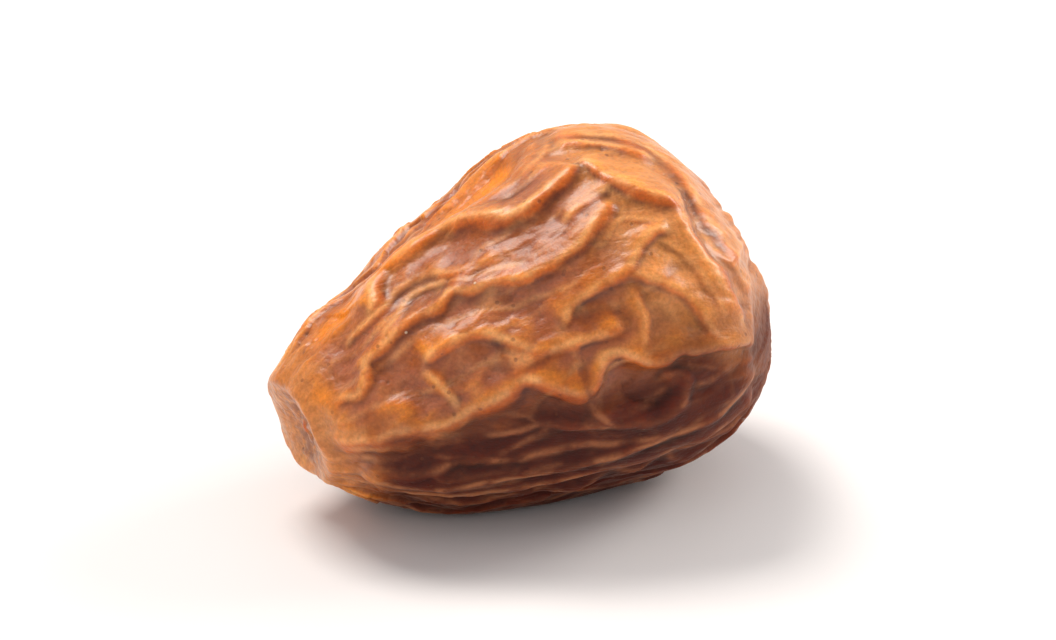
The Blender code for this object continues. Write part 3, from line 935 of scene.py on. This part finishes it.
def huskFinish():
    material, nodes, links = newMaterial("calyx husk")
    shader = nodes["Principled BSDF"]
    place = nodes.new("ShaderNodeTexCoord").outputs["Object"]
    far = attribute(nodes, "far")
    join = nodes.new("ShaderNodeCombineXYZ")
    links.new(attribute(nodes, "side"), join.inputs[0])
    links.new(maths(nodes, links, "MULTIPLY", far, 0.4), join.inputs[1])
    ribs = noise(nodes, links, 5.0, 3.0, join.outputs["Vector"], 0.6)
    blotch = noise(nodes, links, 900, 3.0, place)
    base = mixColour(nodes, links, ramp(nodes, links, ribs, 0.35, 0.65), huskColours["tan"],
                     huskColours["straw"])
    base = mixColour(nodes, links, ramp(nodes, links, blotch, 0.46, 0.64, 0.0, 0.8), base,
                     huskColours["brown"])
    base = mixColour(nodes, links, ramp(nodes, links, far, 0.86, 1.0, 0.0, 0.8), base,
                     huskColours["edge"])
    grainTone, grain = addGrain(nodes, 4500, 0.80, 1.15)
    links.new(scaled(nodes, links, base, grainTone), shader.inputs["Base Color"])
    shader.inputs["Roughness"].default_value = 0.62
    shader.inputs["Subsurface Weight"].default_value = 0.1
    shader.inputs["Subsurface Scale"].default_value = 0.0003
    height = maths(nodes, links, "ADD", ribs, maths(nodes, links, "MULTIPLY", grain, 0.3))
    addBump(nodes, links, height, 0.9, 0.0001)
    return material


def fibreFinish():
    material, nodes, links = newMaterial("stem fibre")
    shader = nodes["Principled BSDF"]
    grainTone, grain = addGrain(nodes, 6000, 0.75, 1.10)
    tone = mixColour(nodes, links, ramp(nodes, links, attribute(nodes, "far"), 0.55, 1.0),
                     huskColours["fibreSide"], huskColours["fibre"])
    tone = scaled(nodes, links, tone, ramp(nodes, links, attribute(nodes, "side"), 0.0, 1.0, 0.65, 1.1))
    links.new(scaled(nodes, links, tone, grainTone), shader.inputs["Base Color"])
    shader.inputs["Roughness"].default_value = 0.75
    addBump(nodes, links, grain, 0.6, 0.00006)
    return material


stage = {
    "cameraTurn": -22.0,    # degrees round from the near side, towards the tip
    "cameraRise": 25.0,
    "distance": 0.62,
    "lens": 290.0,
    "floorSize": 6.0,
    "floorColour": colour(236, 232, 232),
    "skyStrength": 0.56,
    # name, place, size and power of each lamp
    "lamps": [("key", (-0.15, 0.40, 0.8), 0.40, 6.3), ("right", (0.75, 0.05, 0.40), 0.35, 4.4),
              ("fill", (-0.7, -0.4, 0.5), 0.60, 0.8)],
    "lampTint": (1.0, 0.96, 0.90),
}


def makeStage():
    deselectAll()
    bpy.ops.mesh.primitive_plane_add(size=stage["floorSize"])
    floor = bpy.context.object
    floor.name = "floor"
    material, nodes, links = newMaterial("pale floor")
    shader = nodes["Principled BSDF"]
    shader.inputs["Base Color"].default_value = (*stage["floorColour"], 1.0)
    shader.inputs["Roughness"].default_value = 0.6
    floor.data.materials.append(material)

    world = bpy.data.worlds.new("studio")
    bpy.context.scene.world = world
    world.use_nodes = True
    sky = world.node_tree.nodes["Background"]
    sky.inputs["Color"].default_value = (1.0, 1.0, 1.0, 1.0)
    sky.inputs["Strength"].default_value = stage["skyStrength"]

    for name, place, size, power in stage["lamps"]:
        deselectAll()
        bpy.ops.object.light_add(type="AREA", location=place)
        lamp = bpy.context.object
        lamp.name = name
        lamp.data.size = size
        lamp.data.energy = power
        lamp.data.color = stage["lampTint"]
        lamp.rotation_euler = (-Vector(place)).to_track_quat("-Z", "Y").to_euler()

    low, high = cadBox
    middle = (low + high) / 2
    turn, rise = radians(stage["cameraTurn"]), radians(stage["cameraRise"])
    back = Vector((sin(turn) * cos(rise), -cos(turn) * cos(rise), sin(rise)))
    deselectAll()
    bpy.ops.object.camera_add(location=middle + back * stage["distance"])
    camera = bpy.context.object
    camera.rotation_euler = (-back).to_track_quat("-Z", "Y").to_euler()
    camera.data.lens = stage["lens"]
    camera.data.clip_start = 0.01
    camera.data.clip_end = 20.0
    bpy.context.scene.camera = camera
    bpy.context.scene.view_settings.view_transform = "Standard"
    print("stage set with", len(stage["lamps"]), "lamps")


makeStage()
makeCalyx(makeFruit())
